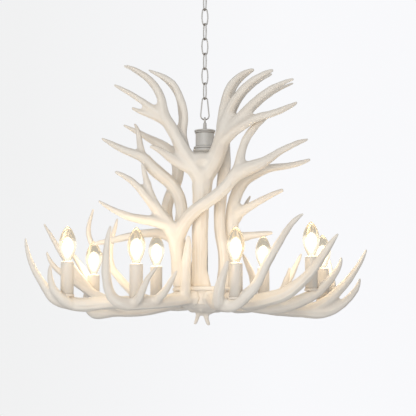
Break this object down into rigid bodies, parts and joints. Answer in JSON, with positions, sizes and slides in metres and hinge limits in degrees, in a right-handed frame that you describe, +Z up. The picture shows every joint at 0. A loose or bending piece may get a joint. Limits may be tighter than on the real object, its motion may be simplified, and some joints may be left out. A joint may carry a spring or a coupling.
{
  "type": "antler chandelier",
  "caption": "Hanging chandelier of curved resin antlers clamped on a hub, with candle lights on the arms, a turned collar and an oval-link chain to a ceiling canopy.",
  "frame": {"origin": "middle of the ceiling bracket's top face, on the ceiling, on the axis of the chain", "axes": "+Z up out of the ceiling face, +X to the right and +Y away from a viewer in front of the part"},
  "size_m": [0.8543, 0.4729, 0.947],
  "materials": {
    "antler_resin": "cast, matt, with fine long ridges",
    "painted_metal": "satin grey-white paint",
    "zinc_steel": "zinc plated",
    "brass": "plain",
    "holder_plastic": "moulded",
    "candle_sleeve": "matt",
    "bulb_glass": "clear, warm light"
  },
  "bodies": {
    "root": {"ceiling_bracket": "zinc_steel", "canopy": "painted_metal", "canopy_loop": "painted_metal", "canopy_nuts": "zinc_steel"},
    "link_1": {"chain_link_1": "painted_metal"},
    "link_2": {"chain_link_2": "painted_metal"},
    "link_3": {"chain_link_3": "painted_metal"},
    "link_4": {"chain_link_4": "painted_metal"},
    "link_5": {"chain_link_5": "painted_metal"},
    "link_6": {"chain_link_6": "painted_metal"},
    "link_7": {"chain_link_7": "painted_metal"},
    "link_8": {"chain_link_8": "painted_metal"},
    "link_9": {"chain_link_9": "painted_metal"},
    "chandelier": {"loop_stem": "painted_metal", "collar_lid": "painted_metal", "collar_cup": "painted_metal", "centre_tube": "zinc_steel", "tube_nuts": "zinc_steel", "crown_plate": "antler_resin", "hub_top_plate": "zinc_steel", "hub_spacer": "zinc_steel", "hub_bottom_plate": "zinc_steel", "hub_screws": "zinc_steel", "crown_screws": "zinc_steel", "bottom_finial": "antler_resin", "arm_antler_1": "antler_resin", "arm_antler_2": "antler_resin", "arm_antler_3": "antler_resin", "arm_antler_4": "antler_resin", "arm_antler_5": "antler_resin", "arm_antler_6": "antler_resin", "arm_antler_7": "antler_resin", "arm_antler_8": "antler_resin", "crown_antler_1": "antler_resin", "crown_antler_2": "antler_resin", "crown_antler_3": "antler_resin", "crown_antler_4": "antler_resin", "crown_antler_5": "antler_resin", "crown_antler_6": "antler_resin", "candle_cups": "painted_metal", "candle_nipples": "brass", "lampholders": "holder_plastic", "candle_sleeve_1": "candle_sleeve", "candle_sleeve_2": "candle_sleeve", "candle_sleeve_3": "candle_sleeve", "candle_sleeve_4": "candle_sleeve", "candle_sleeve_5": "candle_sleeve", "candle_sleeve_6": "candle_sleeve", "candle_sleeve_7": "candle_sleeve", "candle_sleeve_8": "candle_sleeve"},
    "bulb_1": {"bulb_1": "bulb_glass"},
    "bulb_2": {"bulb_2": "bulb_glass"},
    "bulb_3": {"bulb_3": "bulb_glass"},
    "bulb_4": {"bulb_4": "bulb_glass"},
    "bulb_5": {"bulb_5": "bulb_glass"},
    "bulb_6": {"bulb_6": "bulb_glass"},
    "bulb_7": {"bulb_7": "bulb_glass"},
    "bulb_8": {"bulb_8": "bulb_glass"}
  },
  "joints": [
    {"name": "link_1_swing", "type": "hinge", "parent": "root", "child": "link_1", "pos_m": [0, 0, -0.062], "axis": [0, 1, 0], "range_deg": [-15, 15]},
    {"name": "link_2_swing", "type": "hinge", "parent": "link_1", "child": "link_2", "pos_m": [0, 0, -0.1], "axis": [1, 0, 0], "range_deg": [-15, 15]},
    {"name": "link_3_swing", "type": "hinge", "parent": "link_2", "child": "link_3", "pos_m": [0, 0, -0.1387], "axis": [0, -1, 0], "range_deg": [-15, 15]},
    {"name": "link_4_swing", "type": "hinge", "parent": "link_3", "child": "link_4", "pos_m": [0, 0, -0.1774], "axis": [-1, 0, 0], "range_deg": [-15, 15]},
    {"name": "link_5_swing", "type": "hinge", "parent": "link_4", "child": "link_5", "pos_m": [0, 0, -0.2161], "axis": [0, 1, 0], "range_deg": [-15, 15]},
    {"name": "link_6_swing", "type": "hinge", "parent": "link_5", "child": "link_6", "pos_m": [0, 0, -0.2548], "axis": [1, 0, 0], "range_deg": [-15, 15]},
    {"name": "link_7_swing", "type": "hinge", "parent": "link_6", "child": "link_7", "pos_m": [0, 0, -0.2935], "axis": [0, -1, 0], "range_deg": [-15, 15]},
    {"name": "link_8_swing", "type": "hinge", "parent": "link_7", "child": "link_8", "pos_m": [0, 0, -0.3322], "axis": [-1, 0, 0], "range_deg": [-15, 15]},
    {"name": "link_9_swing", "type": "hinge", "parent": "link_8", "child": "link_9", "pos_m": [0, 0, -0.3709], "axis": [0, 1, 0], "range_deg": [-15, 15]},
    {"name": "chandelier_swing", "type": "hinge", "parent": "link_9", "child": "chandelier", "pos_m": [0, 0, -0.4236], "axis": [1, 0, 0], "range_deg": [-15, 15]},
    {"name": "bulb_1_out", "type": "slide", "parent": "chandelier", "child": "bulb_1", "axis": [0, 0, 1], "range_m": [0, 0.03]},
    {"name": "bulb_2_out", "type": "slide", "parent": "chandelier", "child": "bulb_2", "axis": [0, 0, 1], "range_m": [0, 0.03]},
    {"name": "bulb_3_out", "type": "slide", "parent": "chandelier", "child": "bulb_3", "axis": [0, 0, 1], "range_m": [0, 0.03]},
    {"name": "bulb_4_out", "type": "slide", "parent": "chandelier", "child": "bulb_4", "axis": [0, 0, 1], "range_m": [0, 0.03]},
    {"name": "bulb_5_out", "type": "slide", "parent": "chandelier", "child": "bulb_5", "axis": [0, 0, 1], "range_m": [0, 0.03]},
    {"name": "bulb_6_out", "type": "slide", "parent": "chandelier", "child": "bulb_6", "axis": [0, 0, 1], "range_m": [0, 0.03]},
    {"name": "bulb_7_out", "type": "slide", "parent": "chandelier", "child": "bulb_7", "axis": [0, 0, 1], "range_m": [0, 0.03]},
    {"name": "bulb_8_out", "type": "slide", "parent": "chandelier", "child": "bulb_8", "axis": [0, 0, 1], "range_m": [0, 0.03]}
  ]
}
